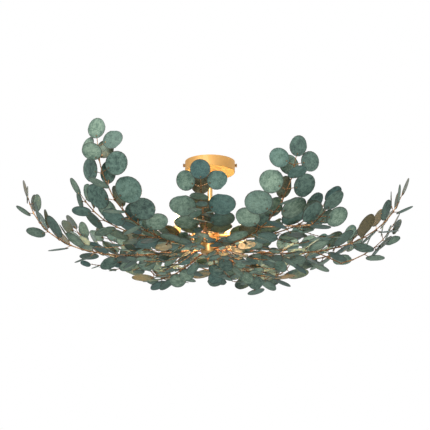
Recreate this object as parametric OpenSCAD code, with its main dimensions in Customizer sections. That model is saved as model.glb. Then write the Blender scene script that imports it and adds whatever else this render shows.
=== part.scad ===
// Flush mount ceiling light: a bowl of twelve metal leaf sprays on a turned hub,
// lit by six small capsule lamps and hung by a short stem from a round canopy.
// The ceiling is the plane z = 0 and everything hangs below it. The front is -Y.

/* [Canopy and bracket] */
// Outer diameter of the canopy
canopy_d = 127; // [100:1:160]
// Height of the canopy, from the ceiling to its flat underside
canopy_h = 29.5; // [25:0.5:45]
// Thickness of the spun canopy wall
canopy_wall = 1.2; // [0.8:0.1:2.5]
// Radius of the rounded edge between the canopy's wall and underside
canopy_edge_r = 4; // [2.5:0.5:8]
// Width of the steel mounting bar
bar_w = 22; // [18:1:35]
// Thickness of the mounting bar
bar_t = 2; // [1.5:0.1:3]
// Distance between the two slots for the ceiling box's screws
slot_spacing = 88.9; // [70:0.1:92]
// Width of each slot
slot_w = 5; // [4:0.5:6]
// Length of each slot from end to end
slot_len = 11; // [8:0.5:14]
// Distance from the ceiling to the thumbscrews
thumb_drop = 9; // [8:0.5:11]
// Diameter of the thumbscrews' shanks
thumb_d = 4; // [3:0.5:5]
// Diameter of the thumbscrews' knurled heads
thumb_head_d = 9; // [7:0.5:12]
// Length of the thumbscrews' knurled heads
thumb_head_len = 5; // [4:0.5:7]
// How far the thumbscrews reach past the inside of the bar's ears
thumb_reach = 3; // [1:0.5:4]

/* [Stem and hub] */
// Diameter of the threaded nipple that carries the weight
nipple_d = 10; // [8:0.5:11]
// Diameter of the wire way through the nipple
nipple_bore_d = 6.5; // [4:0.5:7]
// Outer diameter of the stem tube
stem_d = 13; // [12.5:0.5:18]
// How far the nipple screws into the stem tube
nipple_grip = 12; // [8:1:18]
// Diameter of the collar under the canopy
collar_d = 25; // [20:1:34]
// Height of the collar
collar_h = 9; // [6:0.5:14]
// Distance from the ceiling to the upper row of branches
upper_drop = 208; // [190:1:260]
// Diameter of the hub that holds the branches
hub_d = 46; // [40:1:60]
// Depth of the bores that the branches are fixed in
branch_seat = 10; // [8:0.5:12]
// Diameter of the finial under the hub
finial_d = 22; // [16:1:30]
// Height of the finial
finial_h = 13; // [9:0.5:20]

/* [Lamps] */
// Distance from the axis to each lamp
lamp_r = 84; // [78:1:92]
// Diameter of the lamp arms
arm_d = 6; // [5:0.5:8]
// Radius of the bend where an arm turns up
arm_bend_r = 9; // [7:0.5:12]
// Outer diameter of the brass lamp cups
cup_d = 21; // [20:0.5:26]
// Height of the lamp cups
cup_h = 15; // [12:0.5:20]
// Wall of the lamp cups
cup_wall = 1; // [0.8:0.1:1.5]
// Height of the ceramic sockets
socket_h = 18; // [16:0.5:24]
// Diameter of the glass capsules
glass_d = 14; // [12:0.5:16]
// Length of the glass capsules above their sockets
glass_len = 36; // [30:1:45]
// Length of the lamp pins inside the sockets
pin_len = 12; // [8:0.5:13]
// Distance between the two pins of a lamp
pin_spacing = 9; // [8:0.5:9.5]

/* [Branches] */
// Diameter of a branch where it leaves the hub
branch_base_d = 4.4; // [3.5:0.1:6]
// Diameter of a branch at its tip
branch_tip_d = 2.2; // [1.8:0.1:3]
// How much thicker the knots are than the branch
knot_swell = 1.6; // [1:0.1:2.5]
// Length of each knot along the branch
knot_len = 5.6; // [4:0.1:7]
// Diameter of the leaf stalks
stalk_d = 1.8; // [1.4:0.1:2.4]
// Slope of the branches where they leave the hub, in degrees
start_slope = -6; // [-10:0.5:0]
// How late the branches curl up towards the rim
curl_power = 2.6; // [2:0.1:4]
// Sideways zigzag from one knot to the next, in degrees
zigzag = 4; // [0:0.5:6]

/* [Leaves] */
// Diameter of the leaves nearest the hub
leaf_base_d = 36; // [34:1:42]
// Diameter of the widest leaves, three quarters of the way along a branch
leaf_wide_d = 66; // [58:1:68]
// Diameter of the leaves at the rim
leaf_tip_d = 46; // [40:1:50]
// Thickness of a leaf at its edge
leaf_edge_t = 0.8; // [0.6:0.1:1.5]
// Height of a leaf's pressed crown above its edge
leaf_crown = 0.9; // [0.4:0.1:1.5]
// Distance between knots as a share of the leaf diameter there
knot_spacing = 0.54; // [0.52:0.01:0.7]
// Visible length of the stalks of the widest side leaves
side_stalk = 20; // [16:0.5:24]
// Length of the stalks of the leaves above and below a branch
face_stalk = 12; // [10:0.5:16]
// Distance from a leaf's edge to the rivet that holds it
rivet_inset = 6; // [4:0.5:8]
// Diameter of the flat pad on the end of each stalk
pad_d = 4; // [3:0.5:5]
// Least distance between the leaves of neighbouring branches
leaf_clearance = 2; // [1:0.5:6]

/* [Hidden] */

// Clearances: screws and tubes in their holes, loose parts, and leaves over their pads
fit = 0.05;
loose = 0.3;
rivet_gap = 0.1;

brass = "#d9a559";
dark_brass = "#8a6238";
verdigris = "#6f9486";

function unit(v) = v / norm(v);
function mix(a, b, t) = a + (b - a) * t;
// An uneven but repeatable value from -1 to 1, to vary one leaf from the next
function sway(n) = sin(n * 137.508 + 23);

// A round bar from point a to point b
module rod(a, b, d) {
  v = b - a;
  translate(a)
    rotate([0, acos(v[2] / norm(v)), atan2(v[1], v[0])])
      cylinder(h = norm(v), d = d, $fn = 24);
}

// Places things with their own X axis along x and their own Z axis along z
module aim(p, x, z) {
  y = cross(z, x);
  multmatrix([
    [x[0], y[0], z[0], p[0]],
    [x[1], y[1], z[1], p[1]],
    [x[2], y[2], z[2], p[2]],
    [0, 0, 0, 1]
  ]) children();
}

// Points of a quarter circle around c, from angle a0 to a0 + 90
function quarter(c, r, a0, steps) = [for (i = [0:steps]) c + r * [cos(a0 + 90 * i / steps), sin(a0 + 90 * i / steps)]];

// Canopy and its fixing to the ceiling
canopy_r = canopy_d / 2;
inner_r = canopy_r - canopy_wall;
ear_x = sqrt(pow(inner_r - loose, 2) - pow(bar_w / 2, 2));
ear_drop = thumb_drop + thumb_d / 2 + 4;
lock_nut_h = 4;
lock_nut_flats = nipple_d + 5;
ground_x = slot_spacing / 4;
ground_d = 4;
ground_head_d = 8;
ground_head_h = 2.6;

module mounting_bar() {
  color("silver") difference() {
    union() {
      translate([-ear_x, -bar_w / 2, -bar_t]) cube([2 * ear_x, bar_w, bar_t]);
      for (side = [-1, 1])
        translate([side * (ear_x - bar_t / 2) - bar_t / 2, -bar_w / 2, -ear_drop])
          cube([bar_t, bar_w, ear_drop - bar_t / 2]);
    }
    translate([0, 0, -bar_t - 1]) cylinder(h = bar_t + 2, d = nipple_d + 2 * fit, $fn = 48);
    translate([ground_x, 0, -bar_t - 1]) cylinder(h = bar_t + 2, d = ground_d + 2 * fit, $fn = 32);
    for (side = [-1, 1]) {
      translate([side * slot_spacing / 2, 0, 0]) box_slot();
      translate([side * ear_x, 0, -thumb_drop])
        rotate([0, -90 * side, 0])
          translate([0, 0, -1]) cylinder(h = bar_t + 2, d = thumb_d + 2 * fit, $fn = 32);
    }
  }
}

module box_slot() {
  run = slot_len - slot_w;
  for (end = [-1, 1])
    translate([end * run / 2, 0, -bar_t - 1]) cylinder(h = bar_t + 2, d = slot_w, $fn = 32);
  translate([-run / 2, -slot_w / 2, -bar_t - 1]) cube([run, slot_w, bar_t + 2]);
}

module ground_screw() {
  color("seagreen") difference() {
    union() {
      translate([ground_x, 0, -bar_t]) cylinder(h = bar_t, d = ground_d, $fn = 32);
      translate([ground_x, 0, -bar_t - ground_head_h]) cylinder(h = ground_head_h, d = ground_head_d, $fn = 6);
    }
    translate([ground_x - ground_head_d / 2, -0.5, -bar_t - ground_head_h - 1])
      cube([ground_head_d, 1, 2.2]);
  }
}

module nipple() {
  color("goldenrod") translate([0, 0, -canopy_h - nipple_grip]) difference() {
    cylinder(h = canopy_h + nipple_grip, d = nipple_d, $fn = 48);
    translate([0, 0, -1]) cylinder(h = canopy_h + nipple_grip + 2, d = nipple_bore_d, $fn = 32);
  }
}

module lock_nut() {
  color("silver") translate([0, 0, -bar_t - lock_nut_h]) difference() {
    cylinder(h = lock_nut_h, d = lock_nut_flats / cos(30), $fn = 6);
    translate([0, 0, -1]) cylinder(h = lock_nut_h + 2, d = nipple_d + 2 * fit, $fn = 48);
  }
}

// The canopy is a spun cup with a rounded edge, open to the ceiling
module canopy() {
  outer = concat([[0, -canopy_h]], quarter([canopy_r - canopy_edge_r, canopy_edge_r - canopy_h], canopy_edge_r, -90, 5),
    [[canopy_r, 0]]);
  inner_edge_r = canopy_edge_r - canopy_wall;
  inner = concat([[inner_r, 0]],
    [for (i = [5:-1:0]) quarter([canopy_r - canopy_edge_r, canopy_edge_r - canopy_h], inner_edge_r, -90, 5)[i]],
    [[0, canopy_wall - canopy_h]]);
  color(brass) difference() {
    rotate_extrude($fn = 96) polygon(concat(outer, inner));
    translate([0, 0, -canopy_h - 1]) cylinder(h = canopy_wall + 2, d = nipple_d + 2 * loose, $fn = 48);
    translate([-canopy_r - 1, 0, -thumb_drop])
      rotate([0, 90, 0]) cylinder(h = canopy_d + 2, d = thumb_d + 2 * loose, $fn = 32);
  }
}

// A thumbscrew passes through the canopy's wall and screws into an ear of the bar
module thumbscrew(side) {
  shank = canopy_r - ear_x + bar_t + thumb_reach;
  grip = thumb_head_len - 1;
  translate([side * (canopy_r + fit), 0, -thumb_drop]) rotate([0, 90 * side, 0]) {
    translate([0, 0, -shank]) cylinder(h = shank, d = thumb_d, $fn = 32);
    cylinder(h = 1, d = thumb_head_d - 2, $fn = 48);
    translate([0, 0, 1]) difference() {
      cylinder(h = grip, d = thumb_head_d, $fn = 48);
      for (i = [0:11])
        rotate([0, 0, 30 * i]) translate([thumb_head_d / 2 + 0.35, 0, -1]) cylinder(h = grip + 2, r = 0.8, $fn = 16);
    }
  }
}
module thumbscrew_left() color(dark_brass) thumbscrew(-1);
module thumbscrew_right() color(dark_brass) thumbscrew(1);

// Stem and hub
lamp_count = 6;
branch_count = 12;
wedge = 360 / branch_count;
first_azimuth = -4;
function azimuth(k) = first_azimuth + wedge * k - 90;

stem_bore_d = nipple_d - 1;
side_tilt = 12;
row_clearance = 9;
row_gap = leaf_base_d * sin(side_tilt) + 2 * (stalk_d + leaf_edge_t + leaf_crown) + row_clearance;
hub_margin = branch_base_d / 2 + 6;
hub_top = hub_margin - upper_drop;
hub_bottom = -upper_drop - row_gap - hub_margin;
lamp_hub_h = arm_d + 8;
arm_z = hub_top + lamp_hub_h / 2;
boss_h = 9;
stem_seat = 12;
stem_bottom = hub_top + lamp_hub_h + boss_h - stem_seat;
stud_d = 6;
stud_grip = 6;
function row_z(k) = k % 2 == 0 ? -upper_drop : -upper_drop - row_gap;

module collar() {
  neck_r = stem_d / 2 + 2;
  flare = min(collar_d / 2 - neck_r, collar_h - 2);
  shape = concat([[stem_d / 2 + fit, 0], [collar_d / 2, 0], [collar_d / 2, -1.5]],
    [for (i = [1:5]) [collar_d / 2 - flare * sin(18 * i), -1.5 - flare * (1 - cos(18 * i))]],
    [[collar_d / 2 - flare, -collar_h], [stem_d / 2 + fit, -collar_h]]);
  color(brass) translate([0, 0, -canopy_h]) rotate_extrude($fn = 64) polygon(shape);
}

module stem_tube() {
  length = -canopy_h - stem_bottom;
  color(brass) translate([0, 0, stem_bottom]) difference() {
    cylinder(h = length, d = stem_d, $fn = 48);
    translate([0, 0, -1]) cylinder(h = length + 2, d = stem_bore_d, $fn = 48);
    translate([0, 0, length - nipple_grip - 0.5]) cylinder(h = nipple_grip + 1.5, d = nipple_d + 2 * fit, $fn = 48);
  }
}

// Angles of the lamps, each above a branch of the lower row
function lamp_angle(i) = azimuth(2 * i + 1);

// The wires come down the stem and leave the lamp hub through the arms
module lamp_hub() {
  boss_r = stem_d / 2 + 3.5;
  hub_r = hub_d / 2;
  color(brass) difference() {
    translate([0, 0, hub_top]) rotate_extrude($fn = 64) polygon([
      [0, 0], [hub_r - 1, 0], [hub_r, 1], [hub_r, lamp_hub_h - 3], [hub_r - 3, lamp_hub_h],
      [boss_r + 1, lamp_hub_h], [boss_r, lamp_hub_h + 1.5], [boss_r, lamp_hub_h + boss_h - 1],
      [boss_r - 1, lamp_hub_h + boss_h], [0, lamp_hub_h + boss_h]
    ]);
    translate([0, 0, stem_bottom]) cylinder(h = stem_seat + 1, d = stem_d + 2 * fit, $fn = 48);
    translate([0, 0, hub_top - 1]) cylinder(h = stud_grip + 1, d = stud_d + 2 * fit, $fn = 32);
    translate([0, 0, arm_z - arm_bore_d]) cylinder(h = stem_bottom + 1 - arm_z + arm_bore_d, d = stem_bore_d, $fn = 48);
    for (i = [0:lamp_count - 1])
      rotate([0, 90, lamp_angle(i)]) translate([-arm_z, 0, 0]) {
        translate([0, 0, stem_bore_d / 4]) cylinder(h = hub_r - stem_bore_d / 4, d = arm_bore_d, $fn = 32);
        translate([0, 0, hub_r - branch_seat]) cylinder(h = branch_seat + 1, d = arm_d + 2 * fit, $fn = 32);
      }
  }
}

// The branch hub is turned, with a bead between its two rows of bores
module branch_hub() {
  hub_r = hub_d / 2;
  height = hub_top - hub_bottom;
  waist = height / 2;
  color(brass) difference() {
    translate([0, 0, hub_bottom]) rotate_extrude($fn = 64) polygon([
      [0, 0], [hub_r - 5, 0], [hub_r, 4], [hub_r, waist - 3], [hub_r - 1.5, waist - 2], [hub_r - 1.5, waist + 2],
      [hub_r, waist + 3], [hub_r, height - 1], [hub_r - 1, height], [0, height]
    ]);
    translate([0, 0, hub_bottom - 1]) cylinder(h = height + 2, d = stud_d + 2 * loose, $fn = 32);
    for (k = [0:branch_count - 1])
      rotate([0, 90, azimuth(k)])
        translate([-row_z(k), 0, hub_r - branch_seat])
          cylinder(h = branch_seat + 1, d = branch_base_d + 2 * fit, $fn = 32);
  }
}

module finial() {
  r = finial_d / 2;
  ball_r = r * 0.42;
  shape = concat([[0, 0], [r, 0], [r, -1.5]],
    [for (i = [1:4]) [r - (r - ball_r) * sin(22.5 * i), -1.5 - (finial_h - 1.5 - ball_r) * (1 - cos(22.5 * i))]],
    [for (i = [1:3]) [ball_r * cos(25 * i), -finial_h + ball_r - ball_r * sin(25 * i)]],
    [[0, -finial_h + ball_r - ball_r * sin(75)]]);
  color(brass) union() {
    translate([0, 0, hub_bottom]) rotate_extrude($fn = 48) polygon(shape);
    translate([0, 0, hub_bottom - 1]) cylinder(h = hub_top - hub_bottom + stud_grip, d = stud_d, $fn = 32);
  }
}

// Lamps: each arm leaves the hub level, turns up and carries a cup, a socket and a capsule
cup_floor = 1.2;
cup_z = arm_z + arm_bend_r;
socket_z = cup_z + cup_floor;
socket_d = cup_d - 2 * cup_wall - 2 * loose;
capsule_z = socket_z + socket_h + 0.1;
pin_d = 2;
pin_hole_d = pin_d + 1;
arm_bore_d = arm_d - 2.5;

module at_lamps() for (i = [0:lamp_count - 1]) rotate([0, 0, lamp_angle(i)]) children();

module arm_shape(d, over) {
  start = hub_d / 2 - branch_seat + fit;
  translate([start - over, 0, arm_z]) rotate([0, 90, 0])
    cylinder(h = lamp_r - arm_bend_r - start + over, d = d, $fn = 32);
  translate([lamp_r - arm_bend_r, 0, arm_z + arm_bend_r])
    rotate([90, 0, 0]) rotate([0, 0, -90]) rotate_extrude(angle = 90, $fn = 64) translate([arm_bend_r, 0]) circle(d = d, $fn = 32);
  translate([lamp_r, 0, cup_z]) cylinder(h = cup_floor + over, d = d, $fn = 32);
}

module lamp_arms() color(brass) at_lamps() difference() {
  arm_shape(arm_d, 0);
  arm_shape(arm_bore_d, 1);
}

module lamp_cups() {
  r = cup_d / 2;
  color(brass) at_lamps() translate([lamp_r, 0, cup_z]) rotate_extrude($fn = 48) polygon([
    [arm_d / 2 + fit, 0], [r - 3, 0], [r - 0.8, 1], [r, 3], [r, cup_h], [r - cup_wall, cup_h],
    [r - cup_wall, cup_floor + 1.5], [r - cup_wall - 1.5, cup_floor], [arm_d / 2 + fit, cup_floor]
  ]);
}

module lamp_sockets() {
  r = socket_d / 2;
  color("ivory") at_lamps() translate([lamp_r, 0, socket_z]) difference() {
    rotate_extrude($fn = 48) polygon([
      [0, 0], [r - 1.6, 0], [r, 1.6], [r, cup_h - cup_floor], [r - 1, cup_h - cup_floor + 1],
      [r - 1, socket_h - 1], [r - 2, socket_h], [0, socket_h]
    ]);
    for (side = [-1, 1])
      translate([0, side * pin_spacing / 2, socket_h - pin_len - 1]) cylinder(h = pin_len + 2, d = pin_hole_d, $fn = 24);
  }
}

module bulb(i) {
  r = glass_d / 2;
  base_r = r - 1;
  dome = [for (a = [0:15:75]) [r * cos(a), glass_len - r + r * sin(a)]];
  color("lightyellow") rotate([0, 0, lamp_angle(i - 1)]) translate([lamp_r, 0, capsule_z]) union() {
    rotate_extrude($fn = 48) polygon(concat([[0, 0], [base_r, 0], [base_r, 6], [r, 9]], dome,
      [[0, glass_len - r + r * sin(75)]]));
    for (side = [-1, 1])
      translate([0, side * pin_spacing / 2, -pin_len]) cylinder(h = pin_len + 1, d = pin_d, $fn = 24);
  }
}
module bulb_1() bulb(1);
module bulb_2() bulb(2);
module bulb_3() bulb(3);
module bulb_4() bulb(4);
module bulb_5() bulb(5);
module bulb_6() bulb(6);

// Branches. Each row is one branch, counted from the front: its length, its slope at the tip, how far
// it dips more than others near the hub, how far its side leaves fold up, the side on which a twig
// grows, or 0 where it has none, and how much sooner the twig ends
BRANCHES = [
  [325, 50, 0, 20, 0, 0], [462, 66, 0, 20, 1, 80], [332, 42, 0, 20, 0, 0],
  [525, 68, 0, 20, 1, 20], [464, 54, 5, 12, 1, 30], [512, 84, 6, 12, 1, 30],
  [494, 70, 6, 12, 1, 30], [518, 84, 5, 12, 0, 0], [472, 58, 1, 12, -1, 30],
  [516, 72, 0, 20, 0, 0], [354, 54, 0, 15, 0, 0], [522, 86, 0, 17, 0, 0]
];
first_leaf_r = hub_d / 2 + leaf_base_d;
side_lean = 18;
face_lift = 52;
face_nod = 20;
face_roll = 24;
face_share = 0.8;
twig_angle = 52;
twig_dip = 12;
twig_share = 0.75;
widest_at = 0.76;
pad_t = stalk_d + 0.2;

function branch_len(k) = BRANCHES[k][0];
function leaf_d(t) = lookup(t, [[0, leaf_base_d], [widest_at, leaf_wide_d], [1, leaf_tip_d]]);
function face_d(t) = leaf_d(t) * lookup(t, [[0, 1], [widest_at, face_share], [1, 0.9]]);
function stalk_len(t) = side_stalk * lookup(t, [[0, 0.55], [widest_at, 1]]);
function branch_d(t) = mix(branch_base_d, branch_tip_d, t);
function slope_at(k, s) =
  mix(start_slope - BRANCHES[k][2], BRANCHES[k][1], pow(min(s / branch_len(k), 1), curl_power));
function fold_of(k) = BRANCHES[k][3];
function twig_side(k) = BRANCHES[k][4];
function course(slope, yaw) = [cos(slope) * cos(yaw), cos(slope) * sin(yaw), sin(slope)];

// Knots along a branch or twig, each [place, distance grown, slope, yaw], in the branch's own frame:
// X outward from the hub, Y to the side and Z up
function grow(k, p, s, end, detour, yaw, i) =
  let (
    step = knot_spacing * leaf_d(s / end),
    slope = slope_at(k, s - detour),
    turn = yaw + zigzag * (i % 2 == 0 ? 1 : -1),
    next = p + step * course(slope_at(k, s - detour + step / 2), turn)
  )
  s > end ? [] : concat([[p, s, slope, yaw]], grow(k, next, s + step, end, detour, yaw, i + 1));

function main_knots(k) = grow(k, [first_leaf_r, 0, row_z(k)], first_leaf_r, branch_len(k), 0, 0, 0);

// How far a leaf's middle lies to the side of its branch and forward of its knot
function side_reach(t) = branch_d(t) / 2 + stalk_len(t) + leaf_d(t) / 2 - rivet_inset;
function side_out(t) = side_reach(t) * cos(side_lean);
function side_forward(t) = side_reach(t) * sin(side_lean);

// Room for a leaf at distance r from the axis, before it meets the like leaf of a branch at twice the angle a
function side_room(r, t, a) = (r + side_forward(t)) * sin(a) - side_out(t) * cos(a) - leaf_d(t) / 2 - leaf_clearance;
function face_room(r, t) = side_room(r, t, wedge) - leaf_d(t) / 2;

// Directions at a knot: along the branch, to the side, and away from the ceiling's far side
function along(knot) = course(knot[2], knot[3]);
function across(knot) = [-sin(knot[3]), cos(knot[3]), 0];
function above(knot) = cross(along(knot), across(knot));

// A leaf is [root, rivet, direction to its tip, direction of its face, diameter].
// The stalk leaves the knot along v, a little before or after the middle as shift says,
// and the leaf lies on the side of it that m points to
function leaf(knot, shift, v, m, nod, stalk, d) =
  let (
    root = knot[0] + shift * 0.7 * stalk_d * along(knot),
    p = unit(v),
    up = unit(m - (m * p) * p),
    tip = p * cos(nod) - up * sin(nod),
    face = up * cos(nod) + p * sin(nod)
  )
  [root, root + stalk * p, tip, face, d];

function side_leaf(knot, side, t, rise, n) =
  let (
    f = along(knot),
    l = across(knot) * side,
    m = above(knot),
    nod = 6,
    lift = rise - nod,
    v = (l * cos(side_lean) + f * sin(side_lean)) * cos(lift) + m * sin(lift),
    tilt = side_tilt + 3 * sway(n)
  )
  leaf(knot, side, v, -(m * cos(tilt) - f * sin(tilt)), nod, branch_d(t) / 2 + stalk_len(t), leaf_d(t));

function face_leaf(knot, face, t, n) =
  let (
    f = along(knot) * cos(9 * sway(n)) + across(knot) * sin(9 * sway(n)),
    m = above(knot) * face,
    v = f * cos(face_lift) + m * sin(face_lift),
    roll = face_roll * sway(3 * n),
    up = (m * cos(face_lift) - f * sin(face_lift)) * cos(roll) + across(knot) * sin(roll)
  )
  leaf(knot, face, v, up, face_nod, face_stalk + branch_d(t) / 2, face_d(t));

function end_leaf(knot, t, n) =
  let (
    d = leaf_d(t),
    turn = 10 * sway(n),
    forward = side_forward(t) + sqrt(pow(d + leaf_clearance, 2) - pow(side_out(t), 2))
  )
  leaf(knot, -1, along(knot), -above(knot) * cos(turn) + across(knot) * sin(turn), 5, forward - d / 2 + rivet_inset, d);

// Leaves of the main stem: pairs to the sides and pairs above and below take turns, ending in a
// pair and a leaf at the tip. Near the hub, leaves that would meet the other row are left out
function inner_sign(k) = k % 2 == 0 ? 1 : -1;
function main_leaves(k) =
  let (
    knots = main_knots(k),
    last = len(knots) - 1,
    fork = fork_at(k)
  )
  concat(
    [for (i = [0:last]) let (q = knots[i], t = q[1] / branch_len(k), r = norm([q[0][0], q[0][1]]), n = 40 * k + i)
      each (last - i) % 2 == 0
        ? [for (side = [-1, 1])
            if (side_room(r, t, wedge) >= 0 && !(i == fork && side == twig_side(k)))
              side_leaf(q, side, t, side_rise(k, r, t, side, n), n + 17 * side)]
        : [for (face = [-1, 1])
            if (face == inner_sign(k) || face_room(r, t) >= 0)
              face_leaf(q, face, t, n + 9 * face)]],
    [end_leaf(knots[last], last_share(knots, k), k)]
  );
function last_share(knots, k) = knots[len(knots) - 1][1] / branch_len(k);

// Side leaves fold up around the branch, but near the hub those of one row fold away from the other
// row, and beside a twig they fold away from the twig
function side_rise(k, r, t, side, n) =
  side_room(r, t, wedge / 2) < 0 ? inner_sign(k) * (6 + 5 * sway(n + 3 * side)) :
  twig_owner(k, side) < 0 ? fold_of(k) + 6 * sway(n + 3 * side) :
  -inner_sign(twig_owner(k, side)) * (fold_of(k) / 2 + 5 * sway(n + 3 * side));

// The branch whose twig grows on the given side of branch k, or -1
function twig_owner(k, side) =
  let (other = (k + side + branch_count) % branch_count)
  twig_side(k) == side ? k : twig_side(other) == -side ? other : -1;

// The twig leaves the main stem at the first side knot that stands clear of the next branch
function fork_at(k) =
  let (
    knots = main_knots(k),
    last = len(knots) - 1,
    clear = [for (i = [0:last]) if ((last - i) % 2 == 0 && side_room(knots[i][0][0], knots[i][1] / branch_len(k), wedge / 2) >= 0) i]
  )
  twig_side(k) == 0 || len(clear) == 0 ? -1 : clear[0];

function twig_knots(k) = fork_at(k) < 0 ? [] :
  let (
    fork = main_knots(k)[fork_at(k)],
    side = twig_side(k),
    r = fork[0][0],
    run = r * sin(wedge / 2) / sin(twig_angle - wedge / 2),
    slope = slope_at(k, fork[1]) + inner_sign(k) * twig_dip,
    start = fork[0] + run * course(slope, side * twig_angle),
    detour = run * (1 - cos(twig_angle))
  )
  grow(k, start, fork[1] + run, branch_len(k) + detour - BRANCHES[k][5], detour, side * wedge / 2, 0);

function twig_leaves(k) =
  let (
    knots = twig_knots(k),
    last = len(knots) - 1
  )
  last < 0 ? [] :
  concat(
    [for (i = [0:last]) let (q = knots[i], t = min(q[1] / branch_len(k), 1), r = norm([q[0][0], q[0][1]]), n = 40 * k + i + 500)
      each (last - i) % 2 == 0
        ? [for (side = [-1, 1])
            if (twig_room(r, t) >= -leaf_clearance)
              side_leaf(q, side, t, inner_sign(k) * (6 + 6 * sway(n + 3 * side)), n + 17 * side)]
        : [for (face = [-1, 1]) if (twig_room(r, t) >= -side_stalk) face_leaf(q, face, t, n + 9 * face)]],
    [end_leaf(knots[last], min(knots[last][1] / branch_len(k), 1), k + 20)]
  );
function twig_room(r, t) = r * sin(wedge / 2) - side_out(t) - leaf_d(t) - leaf_clearance;

function all_leaves(k) = concat(main_leaves(k), twig_leaves(k));

module knot(q, d) {
  f = along(q) * knot_len / 2;
  rod(q[0] - f, q[0] + f, d + knot_swell);
}

module stem_of(points, knots, k, share) {
  for (i = [0:len(points) - 2])
    rod(points[i], points[i + 1], share * branch_d(min(i / len(points), 1)));
  for (q = knots) knot(q, share * branch_d(min(q[1] / branch_len(k), 1)));
}

module branch(k) {
  mains = main_knots(k);
  twigs = twig_knots(k);
  fork = fork_at(k);
  color(dark_brass) rotate([0, 0, azimuth(k)]) union() {
    stem_of(concat([[hub_d / 2 - branch_seat + fit, 0, row_z(k)]], [for (q = mains) q[0]]), mains, k, 1);
    if (fork >= 0)
      stem_of(concat([mains[fork][0]], [for (q = twigs) q[0]]), twigs, k, twig_share);
    for (f = all_leaves(k)) {
      rod(f[0], f[1], stalk_d);
      aim(f[1], f[2], f[3]) translate([0, 0, -pad_t / 2]) cylinder(h = pad_t, d = pad_d, $fn = 24);
    }
  }
}

// A leaf is a thin round blank with a pressed crown, flat on its back
module leaf_blank(d) {
  r = d / 2;
  rotate_extrude($fn = 40) polygon([
    [0, 0], [r, 0], [r, leaf_edge_t], [0.72 * r, leaf_edge_t + 0.7 * leaf_crown],
    [0.35 * r, leaf_edge_t + leaf_crown], [0, leaf_edge_t + leaf_crown]
  ]);
}

module leaves(k) color(verdigris) rotate([0, 0, azimuth(k)])
  for (f = all_leaves(k))
    aim(f[1], f[2], f[3]) translate([f[4] / 2 - rivet_inset, 0, pad_t / 2 + rivet_gap]) leaf_blank(f[4]);

module branch_01() branch(0);
module branch_02() branch(1);
module branch_03() branch(2);
module branch_04() branch(3);
module branch_05() branch(4);
module branch_06() branch(5);
module branch_07() branch(6);
module branch_08() branch(7);
module branch_09() branch(8);
module branch_10() branch(9);
module branch_11() branch(10);
module branch_12() branch(11);
module leaves_01() leaves(0);
module leaves_02() leaves(1);
module leaves_03() leaves(2);
module leaves_04() leaves(3);
module leaves_05() leaves(4);
module leaves_06() leaves(5);
module leaves_07() leaves(6);
module leaves_08() leaves(7);
module leaves_09() leaves(8);
module leaves_10() leaves(9);
module leaves_11() leaves(10);
module leaves_12() leaves(11);

mounting_bar();
ground_screw();
nipple();
lock_nut();
canopy();
thumbscrew_left();
thumbscrew_right();
collar();
stem_tube();
lamp_hub();
branch_hub();
finial();
lamp_arms();
lamp_cups();
lamp_sockets();
bulb_1();
bulb_2();
bulb_3();
bulb_4();
bulb_5();
bulb_6();
branch_01();
branch_02();
branch_03();
branch_04();
branch_05();
branch_06();
branch_07();
branch_08();
branch_09();
branch_10();
branch_11();
branch_12();
leaves_01();
leaves_02();
leaves_03();
leaves_04();
leaves_05();
leaves_06();
leaves_07();
leaves_08();
leaves_09();
leaves_10();
leaves_11();
leaves_12();
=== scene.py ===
import math
import random

import bmesh
import bpy
import numpy as np
from mathutils import Matrix, Vector
from mathutils.bvhtree import BVHTree


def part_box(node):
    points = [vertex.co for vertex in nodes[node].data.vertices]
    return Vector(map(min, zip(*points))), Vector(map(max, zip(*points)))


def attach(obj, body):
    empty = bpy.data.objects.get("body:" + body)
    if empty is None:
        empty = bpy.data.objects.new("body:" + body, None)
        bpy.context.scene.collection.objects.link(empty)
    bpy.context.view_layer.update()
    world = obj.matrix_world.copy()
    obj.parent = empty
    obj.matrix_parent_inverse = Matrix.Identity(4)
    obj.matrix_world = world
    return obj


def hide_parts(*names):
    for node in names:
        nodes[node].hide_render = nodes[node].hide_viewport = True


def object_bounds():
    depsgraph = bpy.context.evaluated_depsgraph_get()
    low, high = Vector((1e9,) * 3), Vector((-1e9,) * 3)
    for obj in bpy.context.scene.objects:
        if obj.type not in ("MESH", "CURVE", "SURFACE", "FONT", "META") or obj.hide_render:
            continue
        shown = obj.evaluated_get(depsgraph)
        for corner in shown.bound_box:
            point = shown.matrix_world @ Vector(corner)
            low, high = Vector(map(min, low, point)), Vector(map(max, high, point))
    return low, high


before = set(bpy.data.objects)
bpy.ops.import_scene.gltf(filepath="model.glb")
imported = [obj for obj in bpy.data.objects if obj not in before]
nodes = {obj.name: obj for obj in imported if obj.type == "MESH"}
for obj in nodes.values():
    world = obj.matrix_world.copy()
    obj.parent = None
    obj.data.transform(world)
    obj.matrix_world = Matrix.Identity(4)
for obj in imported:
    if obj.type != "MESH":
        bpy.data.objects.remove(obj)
cad_box = [list(corner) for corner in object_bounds()]

# The room: a pale floor far below the fitting, white walls, and soft studio light.
# The camera stands lower than the light, about 2.6 m in front of it, and looks slightly up at it.
bpy.context.scene.view_settings.view_transform = "Standard"

eye = bpy.data.cameras.new("eye")
eye.sensor_fit = "HORIZONTAL"
eye.angle = math.radians(22.45)
eye.shift_x = 5 / 430
eye.clip_end = 60
camera = bpy.data.objects.new("eye", eye)
camera.location = (0, -2.63, -0.834)
camera.rotation_euler = (math.radians(90 + 14.8), 0, 0)
bpy.context.collection.objects.link(camera)
bpy.context.scene.camera = camera


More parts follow.
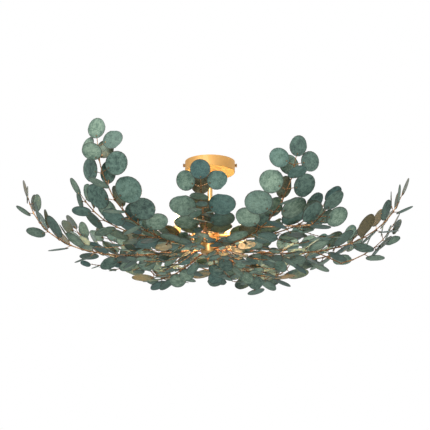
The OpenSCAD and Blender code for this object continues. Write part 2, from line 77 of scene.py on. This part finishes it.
class Shade:
    """A shader socket. Sums and products of these add Math nodes to their finish."""

    def __init__(self, finish, socket):
        self.finish = finish
        self.socket = socket

    def work(self, operation, a, b):
        return self.finish.node("ShaderNodeMath", {"operation": operation}, {0: a, 1: b})

    def __add__(self, other):
        return self.work("ADD", self, other)

    def __radd__(self, other):
        return self.work("ADD", other, self)

    def __sub__(self, other):
        return self.work("SUBTRACT", self, other)

    def __rsub__(self, other):
        return self.work("SUBTRACT", other, self)

    def __mul__(self, other):
        return self.work("MULTIPLY", self, other)

    def __rmul__(self, other):
        return self.work("MULTIPLY", other, self)

    def beside(self, out):
        """Another output of the node that this one comes from."""
        return Shade(self.finish, self.socket.node.outputs[out])

    def ramp(self, low, high, start=0.0, end=1.0):
        """Eases from start at low to end at high."""
        values = {"Value": self, "From Min": low, "From Max": high, "To Min": start, "To Max": end}
        return self.finish.node("ShaderNodeMapRange", {"interpolation_type": "SMOOTHSTEP"}, values)


class Finish:
    """A material or the world's backdrop in the making, with the shader that its nodes feed."""

    def __init__(self, name, store=bpy.data.materials, shader="Principled BSDF"):
        self.material = store.new(name)
        self.material.use_nodes = True
        self.tree = self.material.node_tree
        self.shader = self.tree.nodes[shader]

    def feed(self, socket, value):
        if isinstance(value, Shade):
            self.tree.links.new(value.socket, socket)
        elif isinstance(value, tuple) and len(value) == 3 and socket.type == "RGBA":
            socket.default_value = (*value, 1)
        else:
            socket.default_value = value

    def node(self, kind, settings, values, out=0):
        made = self.tree.nodes.new(kind)
        for key, value in settings.items():
            setattr(made, key, value)
        for key, value in values.items():
            self.feed(made.inputs[key], value)
        return Shade(self, made.outputs[out])

    def place(self):
        return self.node("ShaderNodeTexCoord", {}, {}, "Object")

    def noise(self, scale, detail=3, roughness=0.5, where=None, distortion=0.0):
        values = {"Vector": where or self.place(), "Scale": scale, "Detail": detail}
        values.update({"Roughness": roughness, "Distortion": distortion})
        return self.node("ShaderNodeTexNoise", {}, values)

    def mix(self, factor, a, b):
        return self.node("ShaderNodeMix", {"data_type": "RGBA"}, {0: factor, 6: a, 7: b}, 2)

    def bump(self, height, depth, strength):
        values = {"Strength": strength, "Distance": depth, "Height": height}
        return self.node("ShaderNodeBump", {}, values)

    def finish(self, **values):
        for key, value in values.items():
            self.feed(self.shader.inputs[key.replace("_", " ")], value)
        return self.material


floor_paint = Finish("floor_paint")
floor_grain = floor_paint.noise(6, 4)
floor_tone = floor_paint.mix(floor_grain, (0.86, 0.86, 0.85), (0.9, 0.9, 0.9))
floor_seen = floor_paint.node("ShaderNodeLightPath", {}, {}, "Is Camera Ray")
floor_paint.finish(
    Base_Color=floor_tone,
    Roughness=0.9,
    Emission_Color=floor_paint.mix(floor_seen, (0.0, 0.0, 0.0), floor_tone),
    Emission_Strength=0.42,
)
bpy.ops.object.select_all(action="DESELECT")
bpy.ops.mesh.primitive_circle_add(vertices=64, radius=50, fill_type="NGON", location=(0, 0, -3.6))
floor = bpy.context.object
floor.name = "floor"
floor.data.materials.append(floor_paint.material)

walls = Finish("studio", bpy.data.worlds, "Background")
looked_at = walls.node("ShaderNodeLightPath", {}, {}, "Is Camera Ray")
through_glass = looked_at.beside("Is Transmission Ray")
in_metal = looked_at.beside("Is Glossy Ray")
plain_white = walls.node("ShaderNodeMath", {"operation": "MAXIMUM"}, {0: looked_at, 1: through_glass})
whiteness = walls.node("ShaderNodeMapRange", {}, {"Value": 0.6 * in_metal + plain_white, "To Min": 0.4})
bpy.context.scene.world = walls.finish(Color=(1.0, 1.0, 1.0), Strength=whiteness)


def soft_light(name, place, aim_height, size, power):
    """A square studio lamp that faces the fitting's axis at this height."""
    lamp = bpy.data.lights.new(name, "AREA")
    lamp.size = size
    lamp.energy = power
    holder = bpy.data.objects.new(name, lamp)
    holder.location = place
    aim = Vector((0, 0, aim_height)) - Vector(place)
    holder.rotation_euler = aim.to_track_quat("-Z", "Y").to_euler()
    bpy.context.collection.objects.link(holder)


soft_light("key", (-1.1, -3.0, 0.9), -0.15, 1.5, 72)
soft_light("fill", (2.4, -2.0, -0.8), -0.15, 1.8, 16)
soft_light("bounce", (0.2, -1.6, -2.3), -0.2, 2.0, 17)
soft_light("back", (0.6, 2.6, 0.8), -0.15, 1.6, 8)


# The steel mounting bar, its lock nut and the green ground screw hold the fitting to the ceiling box.
# They are pressed and turned steel, zinc plated, and stay hidden in the canopy.
def dress(names, material):
    """Gives nodes this material alone."""
    for name in names:
        nodes[name].data.materials.clear()
        nodes[name].data.materials.append(material)


zinc = Finish("zinc_plate")
spangle = zinc.noise(160, 4, 0.6)
zinc.finish(
    Base_Color=zinc.mix(spangle, (0.46, 0.46, 0.44), (0.66, 0.66, 0.63)),
    Metallic=1.0,
    Roughness=spangle.ramp(0.3, 0.7, 0.32, 0.48),
    Normal=zinc.bump(spangle, 0.0001, 0.3),
)
green_dye = Finish("green_dye")
dye_wear = green_dye.noise(900)
green_dye.finish(
    Base_Color=green_dye.mix(dye_wear, (0.02, 0.16, 0.06), (0.05, 0.3, 0.12)),
    Metallic=0.7,
    Roughness=0.35,
)
dress(["mounting_bar", "lock_nut"], zinc.material)
dress(["ground_screw"], green_dye.material)


# The canopy is spun from brass sheet and brushed in rings, then lacquered satin. The collar, stem,
# hubs, arms, cups and finial are turned from the same brass. The nipple is left raw, and the
# thumbscrews that hold the canopy are knurled and antiqued.
def satin_brass(name, dark, light, rough, rings):
    """Brass with clouds in its lacquer and fine rings round the fitting's axis."""
    brass = Finish(name)
    at = brass.place()
    height = brass.node("ShaderNodeSeparateXYZ", {}, {0: at}, 2)
    level = brass.node("ShaderNodeCombineXYZ", {}, {0: 0.0, 1: 0.0, 2: height})
    fine = brass.noise(rings, 2, 0.5, level)
    cloud = brass.noise(22, 4, 0.55, at)
    return brass.finish(
        Base_Color=brass.mix(cloud.ramp(0.25, 0.75), dark, light),
        Metallic=1.0,
        Roughness=rough + 0.07 * cloud + 0.05 * fine,
        Normal=brass.bump(fine, 0.00004, 0.35),
        Coat_Weight=0.15,
    )


spun_brass = satin_brass("spun_brass", (0.74, 0.43, 0.145), (0.87, 0.54, 0.2), 0.62, 900)
turned_brass = satin_brass("turned_brass", (0.6, 0.36, 0.13), (0.8, 0.5, 0.2), 0.26, 700)
raw_brass = satin_brass("raw_brass", (0.62, 0.42, 0.16), (0.78, 0.56, 0.24), 0.34, 1200)
aged_brass = satin_brass("aged_brass", (0.2, 0.11, 0.05), (0.42, 0.25, 0.11), 0.36, 800)
dress(["canopy"], spun_brass)
dress(["collar", "stem_tube", "lamp_hub", "branch_hub", "finial", "lamp_arms", "lamp_cups"], turned_brass)
dress(["nipple"], raw_brass)
dress(["thumbscrew_left", "thumbscrew_right"], aged_brass)

# The lamp sockets are pressed from white ceramic and stand in the brass cups.
# Their glaze is a little uneven in tone and in shine.
ceramic = Finish("glazed_ceramic")
glaze = ceramic.noise(120)
ceramic.finish(
    Base_Color=ceramic.mix(glaze, (0.82, 0.79, 0.72), (0.9, 0.88, 0.82)),
    Roughness=glaze.ramp(0.3, 0.7, 0.22, 0.34),
    Coat_Weight=0.4,
)
dress(["lamp_sockets"], ceramic.material)

# Each capsule lamp is clear glass pinched shut at the foot, with a glowing filament on two posts.
# The filament is a coil of tungsten wire, and it leaves the socket together with the glass and pins.
lit_glass = Finish("lit_glass")
haze = lit_glass.noise(90)
lit_glass.finish(
    Base_Color=lit_glass.mix(haze, (1.0, 0.95, 0.86), (1.0, 0.98, 0.93)),
    Roughness=haze.ramp(0.3, 0.7, 0.03, 0.12),
    Transmission_Weight=0.75,
    Emission_Color=lit_glass.mix(haze, (1.0, 0.62, 0.27), (1.0, 0.76, 0.45)),
    Emission_Strength=0.45,
)
tungsten = Finish("glowing_tungsten")
heat = tungsten.noise(900, 2)
tungsten.finish(
    Base_Color=(0.3, 0.28, 0.26),
    Metallic=1.0,
    Roughness=heat.ramp(0.3, 0.7, 0.3, 0.45),
    Emission_Color=tungsten.mix(heat, (1.0, 0.6, 0.25), (1.0, 0.8, 0.5)),
    Emission_Strength=14.0,
)
wire_r = 0.0003
coil_r = 0.0012
coil_rise = 0.0011
coil_turns = 6
post_x = 0.0021
post_len = 0.018
filament_drop = 0.018
filament_size = 0.012


def join_up(pieces, name):
    """Makes one piece at the origin out of several, which need not be in the scene yet."""
    bpy.ops.object.select_all(action="DESELECT")
    for piece in pieces:
        if not piece.users_collection:
            bpy.context.collection.objects.link(piece)
        piece.select_set(True)
    bpy.context.view_layer.objects.active = pieces[0]
    bpy.ops.object.transform_apply(location=True, rotation=True, scale=True)
    bpy.ops.object.join()
    joined = bpy.context.object
    joined.name = name
    joined.data.name = name
    return joined


bpy.ops.object.select_all(action="DESELECT")
bpy.ops.mesh.primitive_circle_add(vertices=6, radius=wire_r, location=(0, 0, 0))
coil = bpy.context.object
bpy.ops.object.mode_set(mode="EDIT")
bpy.ops.mesh.select_all(action="SELECT")
bpy.ops.transform.rotate(value=math.pi / 2, orient_axis="X", center_override=(0, 0, 0))
bpy.ops.transform.translate(value=(coil_r, 0, 0))
bpy.ops.object.mode_set(mode="OBJECT")
wind = coil.modifiers.new("wind", "SCREW")
wind.steps = 10
wind.render_steps = 10
wind.iterations = coil_turns
wind.screw_offset = coil_rise
wind.use_normal_calculate = True
bpy.ops.object.modifier_apply(modifier="wind")
wires = [coil]
for side, end_height in ((-1, coil_turns * coil_rise), (1, 0.0001)):
    bpy.ops.mesh.primitive_cylinder_add(
        vertices=6, radius=wire_r, depth=post_len, location=(side * post_x, 0, -0.002)
    )
    wires.append(bpy.context.object)
    bpy.ops.mesh.primitive_cylinder_add(
        vertices=6,
        radius=0.00025,
        depth=post_x - coil_r + 0.0002,
        rotation=(0, math.pi / 2, 0),
        location=(side * (post_x + coil_r) / 2, 0, end_height),
    )
    wires.append(bpy.context.object)
coil = join_up(wires, "coil")


def lamp_glow(name, kind, power, colour, place):
    """Light from a lamp's filament, placed just over its glass."""
    light = bpy.data.lights.new(name, kind)
    light.energy = power
    light.color = colour
    light.shadow_soft_size = filament_size
    if kind == "SPOT":
        light.spot_size = math.radians(175)
        light.spot_blend = 0.4
    holder = bpy.data.objects.new(name, light)
    holder.location = place
    bpy.context.collection.objects.link(holder)


for number in range(1, 7):
    bulb = "bulb_%d" % number
    dress([bulb], lit_glass.material)
    low, high = [Vector(corner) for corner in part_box(bulb)]
    middle = (low + high) / 2
    filament = bpy.data.objects.new("filament_%d" % number, coil.data.copy())
    filament.data.name = filament.name
    bpy.context.collection.objects.link(filament)
    turn = Matrix.Rotation(math.atan2(middle.y, middle.x), 4, "Z")
    filament.data.transform(Matrix.Translation((middle.x, middle.y, high.z - filament_drop)) @ turn)
    filament.data.materials.append(tungsten.material)
    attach(filament, "lamp_%d" % number)
    over = (middle.x, middle.y, high.z + 0.02)
    lamp_glow(bulb + "_light", "SPOT", 1.35, (1.0, 0.5, 0.2), over)
    lamp_glow(bulb + "_haze", "POINT", 0.15, (1.0, 0.84, 0.62), over)
bpy.data.objects.remove(coil)

# The twelve branches are brazed from brass rod with a small sleeve at each knot, and their brown
# patina is rubbed back to copper and brass on the high places.
patina = Finish("brown_patina")
stain = patina.noise(55, 5, 0.6)
rubbed = patina.noise(340, 3, 0.6)
brown = patina.mix(stain.ramp(0.35, 0.65), (0.13, 0.065, 0.035), (0.34, 0.18, 0.08))
patina.finish(
    Base_Color=patina.mix(rubbed.ramp(0.47, 0.66), brown, (0.8, 0.46, 0.22)),
    Metallic=rubbed.ramp(0.3, 0.7, 0.7, 1.0),
    Roughness=rubbed.ramp(0.3, 0.7, 0.5, 0.32),
    Normal=patina.bump(rubbed, 0.00015, 0.5),
)
branches = range(1, 13)
dress(["branch_%02d" % number for number in branches], patina.material)

# The leaves are cut from thin brass sheet and dished, then given a mottled verdigris that runs from
# pale green to dark teal. Their backs keep more of the brown metal, and their rims are dark. Each face
# also gets painted shade that darkens it towards its rim, as the dish would be shaded.
leaf_sheet = 0.0009
leaf_border = 0.36
rivet_inset = 0.006
pad_gap = 0.0001
pad_reach = 0.0023


def leaf_finish(name, spread, few, many):
    """Verdigris on brass with painted shade towards the rim. The last three say how much of the metal
    shows through it.
    """
    leaf = Finish(name)
    at = leaf.place()
    tone = leaf.node("ShaderNodeAttribute", {"attribute_name": "tone"}, {}, "Color")
    dark = leaf.node("ShaderNodeSeparateColor", {}, {0: tone})
    teal = dark.beside(1)
    rust = dark.beside(2)

    sheet = leaf.node("ShaderNodeUVMap", {"uv_map": "leaf"}, {})
    sheet_middle = {0: sheet, 1: (0.5, 0.5, 0.0)}
    rivet = {0: sheet, 1: (0.11, 0.5, 0.0)}
    reach = leaf.node("ShaderNodeVectorMath", {"operation": "DISTANCE"}, sheet_middle, "Value")
    from_rivet = leaf.node("ShaderNodeVectorMath", {"operation": "DISTANCE"}, rivet, "Value")

    clouds = leaf.noise(58, 5, 0.65, at, 0.8)
    blotches = leaf.noise(115, 4, 0.6, at, 0.3)
    grain = leaf.noise(330, 4, 0.65, at)
    specks = leaf.noise(620, 2, 0.5, at)
    mottle = (0.42 * clouds + 0.55 * blotches + 0.5 * grain).ramp(0.55, 0.92)

    pale = leaf.mix(mottle, (0.09, 0.168, 0.122), (0.335, 0.465, 0.345))
    deep = leaf.mix(mottle, (0.023, 0.057, 0.048), (0.14, 0.235, 0.188))
    blue = leaf.mix(mottle, (0.024, 0.084, 0.084), (0.075, 0.185, 0.178))
    metal = leaf.mix(grain.ramp(0.35, 0.65), (0.085, 0.065, 0.028), (0.25, 0.19, 0.08))
    rim = (reach + 0.02 * blotches - 0.01).ramp(0.452, 0.49, 0.0, 0.8)
    body = leaf.mix((dark + 0.6 * clouds - 0.3).ramp(0.25, 0.85), pale, deep)
    for share, colour in (
        # painted shade: each face darkens towards its rim, standing in for the shading of the dish
        (reach.ramp(0.22, 0.5, 0.0, 0.5), deep),
        ((teal + 0.3 * blotches - 0.15).ramp(0.66, 0.95, 0.0, 0.6), blue),
        ((rust + spread * clouds - spread / 2).ramp(few, many, 0.0, 0.9), metal),
        (specks.ramp(0.6, 0.72, 0.0, 0.6), (0.03, 0.06, 0.055)),
        (from_rivet.ramp(0.02, 0.075, 0.7, 0.0), (0.045, 0.04, 0.025)),
        (rim, (0.05, 0.048, 0.032)),
    ):
        body = leaf.mix(share, body, colour)
    return leaf.finish(
        Base_Color=body,
        Metallic=0.12,
        Roughness=mottle.ramp(0.0, 1.0, 0.42, 0.62),
        Normal=leaf.bump(grain + 0.5 * blotches, 0.0005, 0.7),
    )


leaf_front = leaf_finish("verdigris_front", 0.16, 1.1, 1.2)
leaf_back = leaf_finish("verdigris_back", 0.83, 0.5, 1.08)


def cut_leaf(name, waist, dish):
    """Models one leaf of radius 1, its stalk end towards -X, and dishes it."""
    bpy.ops.object.select_all(action="DESELECT")
    bpy.ops.mesh.primitive_circle_add(vertices=20, radius=1, fill_type="NGON", location=(0, 0, 0))
    made = bpy.context.object
    made.name = name
    bpy.ops.object.mode_set(mode="EDIT")
    bpy.ops.mesh.select_mode(type="FACE")
    bpy.ops.mesh.select_all(action="SELECT")
    bpy.ops.mesh.inset(thickness=leaf_border)
    bpy.ops.transform.translate(value=(0, 0, dish))
    bpy.ops.object.mode_set(mode="OBJECT")
    for corner in made.data.vertices:
        corner.select = corner.co.x > 0.3
    bpy.ops.object.mode_set(mode="EDIT")
    bpy.ops.mesh.select_mode(type="VERT")
    bpy.ops.transform.resize(value=(1, waist, 1))
    bpy.ops.object.mode_set(mode="OBJECT")
    made.data.uv_layers[0].name = "leaf"
    sheet = made.data.uv_layers[0].data
    for loop in made.data.loops:
        p = made.data.vertices[loop.vertex_index].co
        sheet[loop.index].uv = (0.5 + p.x / 2, 0.5 + p.y / 2)
    return made


leaf_shapes = [
    cut_leaf("leaf_round", 1.0, 0.9),
    cut_leaf("leaf_egg", 0.9, 0.7),
    cut_leaf("leaf_broad", 0.95, 1.0),
]


def leaf_copy(shape, middle, tip, face, radius, width, tone):
    """A leaf of this shape in its place. Its tone is how dark, how teal and how rusty it is."""
    middle, tip, face = np.array(middle), np.array(tip), np.array(face)
    across = np.cross(face, tip)
    place = np.eye(4)
    place[:3] = np.column_stack((tip * radius, across * radius * width, face * leaf_sheet, middle))
    leaf = bpy.data.objects.new("leaf", shape.data.copy())
    leaf.data.transform(Matrix(place.tolist()))
    paint = leaf.data.attributes.new("tone", "FLOAT_COLOR", "POINT")
    paint.data.foreach_set("color", [*tone, 1.0] * len(leaf.data.vertices))
    return leaf


def spray_of(leaves, name):
    """Joins leaves, gives them the thickness of the sheet, and patinates front and back."""
    spray = join_up(leaves, name)
    spray.data.materials.clear()
    spray.data.materials.append(leaf_front)
    spray.data.materials.append(leaf_back)
    sheet = spray.modifiers.new("sheet", "SOLIDIFY")
    sheet.thickness = leaf_sheet
    sheet.offset = 1
    sheet.material_offset = 1
    sheet.use_rim = True
    bpy.ops.object.modifier_apply(modifier="sheet")
    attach(spray, "fixture")
    return spray


def corner_table(mesh):
    """The corner points of a mesh, one to a row."""
    table = np.empty(len(mesh.vertices) * 3)
    mesh.vertices.foreach_get("co", table)
    return table.reshape(-1, 3)


def leaf_blanks(mesh):
    """The loose solids of a leaf node, each as a table of its corner points."""
    work = bmesh.new()
    work.from_mesh(mesh)
    bmesh.ops.remove_doubles(work, verts=work.verts, dist=0.00002)
    work.verts.ensure_lookup_table()
    left = set(range(len(work.verts)))
    blanks = []
    while left:
        heap = [left.pop()]
        blank = []
        while heap:
            corner = work.verts[heap.pop()]
            blank.append(corner.co.copy())
            for edge in corner.link_edges:
                other = edge.other_vert(corner).index
                if other in left:
                    left.discard(other)
                    heap.append(other)
        blanks.append(np.array(blank))
    work.free()
    return blanks


def leaf_seat(blank, rods):
    """Where a leaf sits: its middle, radius, tip and face, found from its blank and its pad."""
    middle = blank.mean(axis=0)
    face = np.linalg.eigh(np.cov((blank - middle).T))[1][:, 0]
    height = (blank - middle) @ face
    out = np.linalg.norm(blank - middle - np.outer(height, face), axis=1)
    radius = out.max()
    inner = height[out < 0.8 * radius]
    outer = height[out > 0.95 * radius]
    if inner.mean() < outer.mean():
        face, outer = -face, -outer
    middle = middle + face * outer.min()
    side = rods - middle
    drop = side @ face
    near = np.linalg.norm(side - np.outer(drop, face), axis=1)
    under = np.abs(drop + pad_gap) < 0.6 * pad_gap
    pad_top = under & (np.abs(near - (radius - rivet_inset)) < pad_reach)
    stalk_end = side[pad_top].mean(axis=0) if pad_top.any() else np.array([0.0, 0.0, 1.0])
    stalk_end = stalk_end - face * (stalk_end @ face)
    return middle, radius, -stalk_end / np.linalg.norm(stalk_end), face


# Leaves with a tone of their own: two brown ones near the right tip, and the group in front
dark, teal, rust = range(3)
odd_leaves = (
    ((0.3804, -0.0695, -0.1824), {rust: 1.4}),
    ((0.4176, -0.0218, -0.1524), {rust: 1.3}),
    ((-0.022, -0.3332, -0.1216), {teal: 0.97}),
    ((0.0277, -0.2717, -0.1857), {teal: 0.92}),
    ((0.0159, -0.3109, -0.1399), {teal: 0.85, dark: 0.5}),
    ((-0.0542, -0.2994, -0.1381), {dark: 0.55}),
    ((-0.0613, -0.2629, -0.1863), {teal: 0.2, dark: 0.5}),
    ((-0.0534, -0.2, -0.2092), {dark: 0.0}),
    ((0.0285, -0.2073, -0.203), {dark: 0.0}),
    ((-0.0229, -0.2396, -0.1745), {dark: 0.0}),
)
dice = random.Random(5)
rivet_spots = {}
for number in branches:
    rods = corner_table(nodes["branch_%02d" % number].data)
    leaves = []
    rivet_spots[number] = []
    for blank in leaf_blanks(nodes["leaves_%02d" % number].data):
        middle, radius, tip, face = leaf_seat(blank, rods)
        shape = dice.choice(leaf_shapes)
        width = dice.uniform(0.93, 1.0)
        tone = [dice.random() for channel in range(3)]
        for spot, levels in odd_leaves:
            if np.linalg.norm(middle - spot) < 0.01:
                for channel, level in levels.items():
                    tone[channel] = level
        leaves.append(leaf_copy(shape, middle, tip, face, radius, width, tone))
        rivet_spots[number].append((Vector(middle - tip * (radius - rivet_inset)), Vector(face)))
    spray = spray_of(leaves, "leaf_spray_%02d" % number)
    bpy.ops.object.shade_smooth_by_angle(angle=math.radians(40))
    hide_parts("leaves_%02d" % number)

# One small brass rivet goes through each leaf into the pad at the end of its stalk.
# Its head is a low cone, peened over on the leaf's face and left dark.
head_foot_r = 0.0019
head_top_r = 0.0011
head_len = 0.0024
head_rise = 0.001
bpy.ops.object.select_all(action="DESELECT")
bpy.ops.mesh.primitive_cone_add(vertices=9, radius1=head_foot_r, radius2=head_top_r, depth=head_len)
rivet_head = bpy.context.object
for number in branches:
    heads = []
    for spot, face in rivet_spots[number]:
        head = bpy.data.objects.new("rivet", rivet_head.data.copy())
        turn = Vector((0, 0, 1)).rotation_difference(face).to_matrix().to_4x4()
        head.data.transform(Matrix.Translation(spot + face * head_rise) @ turn)
        heads.append(head)
    rivets = join_up(heads, "rivets_%02d" % number)
    rivets.data.materials.append(aged_brass)
    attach(rivets, "fixture")
bpy.data.objects.remove(rivet_head)

# Under the branches hang short shoots of thin rod with small leaves, which fill the bowl round the
# hub. Each shoot is brazed to its branch and sags before it curls up, and its leaves are cut and
# finished like the large ones. A leaf is left out where it would touch anything.
shoot_r = 0.0009
shoot_knots = 12
shoot_step = 0.0125
shoot_tries = 14
root_sunk = 0.0008
stalk_thick = 0.7
stalk_len = 0.0075
stalk_lap = 0.004
fewest_leaves = 4
first_azimuth = -94
inner_bowl = 0.4
wire_to_solid = 0.0026
wire_to_wire = 0.004
leaf_to_solid = 0.003
leaf_to_wire = 0.0018
leaf_face_room = 0.0022
leaf_rim_room = 0.0015
upwards = Vector((0, 0, 1))

shoot_line = [Vector((0, 0, 0))]
for knot in range(shoot_knots):
    slope = math.radians(-14 + 36 * ((knot + 0.5) / shoot_knots) ** 2)
    shoot_line.append(shoot_line[-1] + shoot_step * Vector((math.cos(slope), 0, math.sin(slope))))

bpy.ops.object.select_all(action="DESELECT")
bpy.ops.mesh.primitive_cylinder_add(
    vertices=6, radius=shoot_r, depth=1, rotation=(0, math.pi / 2, 0), location=(0.5, 0, 0)
)
rod = bpy.context.object
bpy.ops.mesh.primitive_cone_add(
    vertices=8,
    radius1=shoot_r * 1.7,
    radius2=shoot_r * 1.4,
    depth=0.24,
    rotation=(0, math.pi / 2, 0),
    location=(1, 0, 0),
)
shoot_rod = join_up([rod, bpy.context.object], "shoot_rod")


def rod_copy(a, b, thick):
    """A length of rod from a to b, with its sleeve at b."""
    made = bpy.data.objects.new("shoot", shoot_rod.data.copy())
    turn = (b - a).to_track_quat("X", "Z").to_matrix().to_4x4()
    stretch = Matrix.Diagonal(((b - a).length, thick, thick, 1))
    made.data.transform(Matrix.Translation(a) @ turn @ stretch)
    return made


def solid_tree(names):
    """A search tree over the faces of these nodes that lie in the inner bowl."""
    corners = []
    faces = []
    for name in names:
        mesh = nodes[name].data
        mesh.calc_loop_triangles()
        place = corner_table(mesh)
        face = np.empty(len(mesh.loop_triangles) * 3, dtype=np.int32)
        mesh.loop_triangles.foreach_get("vertices", face)
        face = face.reshape(-1, 3)
        near = np.hypot(place[:, 0], place[:, 1]) < inner_bowl
        faces.append(face[near[face].all(axis=1)] + sum(len(table) for table in corners))
        corners.append(place)
    return BVHTree.FromPolygons(np.concatenate(corners).tolist(), np.concatenate(faces).tolist())


def disc(middle, tip, face, radius):
    """Points spread over a leaf, about 4 mm apart."""
    across = face.cross(tip)
    found = [middle]
    for share, count in ((0.35, 6), (0.7, 11), (1.0, 16)):
        for step in range(count):
            a = 2 * math.pi * step / count
            found.append(middle + radius * share * (math.cos(a) * tip + math.sin(a) * across))
    return found


def too_low(points):
    """Whether any point hangs below the bowl's underside, which rises away from the hub."""
    return any(p.z < max(lowest, 0.2 * (math.hypot(p.x, p.y) - 0.15) - 0.287) for p in points)


def meets_leaf(points):
    """Whether any point lies in or close to one of the small leaves."""
    if not small_leaves:
        return False
    table = np.array([(*middle, *face, radius) for middle, face, radius in small_leaves])
    off = np.array([tuple(p) for p in points])[:, None, :] - table[None, :, :3]
    rise = (off * table[None, :, 3:6]).sum(axis=2)
    reach = np.linalg.norm(off - rise[:, :, None] * table[None, :, 3:6], axis=2)
    level = np.abs(rise) < leaf_face_room
    return bool((level & (reach < table[None, :, 6] + leaf_rim_room)).any())


def meets_solid(points, gap):
    """Whether any point comes this close to a solid."""
    return any(solids.find_nearest(p, gap)[0] for p in points)


def meets_wire(points, wire, gap):
    """Whether any point comes this close to a point of a wire."""
    return any((p - q).length < gap for p in points for q in wire)


def root_under(branch, azimuth, reach):
    """The place on a branch's underside at this distance from the axis, or None."""
    for sideways in (0, 1, -1, 2, -2, 3, -3, 4, -4, 6, -6, 8, -8):
        start = Matrix.Rotation(azimuth, 3, "Z") @ Vector((reach, sideways / 1000, -0.35))
        hit = branch.ray_cast(start, upwards, 0.3)[0]
        if hit:
            return hit + root_sunk * upwards
    return None


def clear_way(root, azimuth, side, longer):
    """The knots of a shoot that is clear of everything, and close points along it, or None."""
    for attempt in range(shoot_tries):
        yaw = Matrix.Rotation(azimuth + side * math.radians(dice.uniform(4, 26)), 4, "Z")
        dip = Matrix.Rotation(math.radians(dice.uniform(2, 26)), 4, "Y")
        size = Matrix.Scale(longer * dice.uniform(0.85, 1.05), 4)
        place = Matrix.Translation(root) @ (yaw @ dip @ size)
        knots = [place @ spot for spot in shoot_line]
        wire = [a.lerp(b, t) for a, b in zip(knots, knots[1:]) for t in (0, 0.34, 0.67)][3:]
        wire.append(knots[-1])
        if too_low(wire) or meets_leaf(wire):
            continue
        if not meets_solid(wire, wire_to_solid) and not meets_wire(wire, laid_wires, wire_to_wire):
            return knots, wire
    return None


def grow_leaves(knots, wire):
    """Small leaves to the left and right in turn, as knot number, leaf, and the stalk's ends."""
    grown = []
    for knot in range(2, shoot_knots + 1):
        along = (knots[min(knot + 1, shoot_knots)] - knots[knot - 1]).normalized()
        level = upwards.cross(along).normalized() * (1 if knot % 2 else -1)
        radius = dice.uniform(0.0115, 0.0165)
        lean = math.radians(dice.uniform(25, 50) if knot < shoot_knots else 84)
        rise = Vector((0, 0, dice.uniform(-0.3, 0.2)))
        tip = (level * math.cos(lean) + along * math.sin(lean) + rise).normalized()
        up = (upwards - tip.z * tip).normalized()
        face = -(Matrix.Rotation(math.radians(dice.uniform(-24, 24)), 3, tip) @ up)
        middle = knots[knot] + tip * (stalk_len + radius - stalk_lap)
        points = disc(middle, tip, face, radius)
        tone = [dice.random() for channel in range(3)]
        shape = dice.choice(leaf_shapes)
        if too_low(points) or meets_leaf(points) or meets_solid(points, leaf_to_solid):
            continue
        if meets_wire(points, laid_wires + wire, leaf_to_wire):
            continue
        small_leaves.append((middle, face, radius))
        leaf = leaf_copy(shape, middle, tip, face, radius, 1.0, tone)
        grown.append((knot, leaf, knots[knot], knots[knot] + tip * stalk_len))
    return grown


solids = solid_tree([name for name in nodes if name != "canopy"])
lowest = cad_box[0][2] + 0.004
small_leaves = []
laid_wires = []
shoot_roots = [
    (reach, side, longer)
    for reach, first, longer in ((0.036, -1, 1.0), (0.1, -1, 0.9), (0.17, -1, 0.85), (0.24, 1, 0.8))
    for side in (first, -first)
]
for number in branches:
    azimuth = math.radians(first_azimuth + 360 / len(branches) * (number - 1))
    branch = solid_tree(["branch_%02d" % number])
    rods = []
    leaves = []
    for reach, side, longer in shoot_roots:
        root = root_under(branch, azimuth, reach)
        way = root and clear_way(root, azimuth, side, longer)
        if not way:
            continue
        knots, wire = way
        grown = grow_leaves(knots, wire)
        if len(grown) < fewest_leaves:
            del small_leaves[len(small_leaves) - len(grown):]
            continue
        last = grown[-1][0]
        laid_wires.extend(wire[:3 * last])
        rods.extend(rod_copy(a, b, 1) for a, b in zip(knots[:last], knots[1:last + 1]))
        for knot, leaf, foot, end in grown:
            leaves.append(leaf)
            rods.append(rod_copy(foot, end, stalk_thick))
    if leaves:
        shoots = join_up(rods, "shoots_%02d" % number)
        shoots.data.materials.append(patina.material)
        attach(shoots, "fixture")
        spray_of(leaves, "small_leaves_%02d" % number)
for pattern in [shoot_rod] + leaf_shapes:
    bpy.data.objects.remove(pattern)
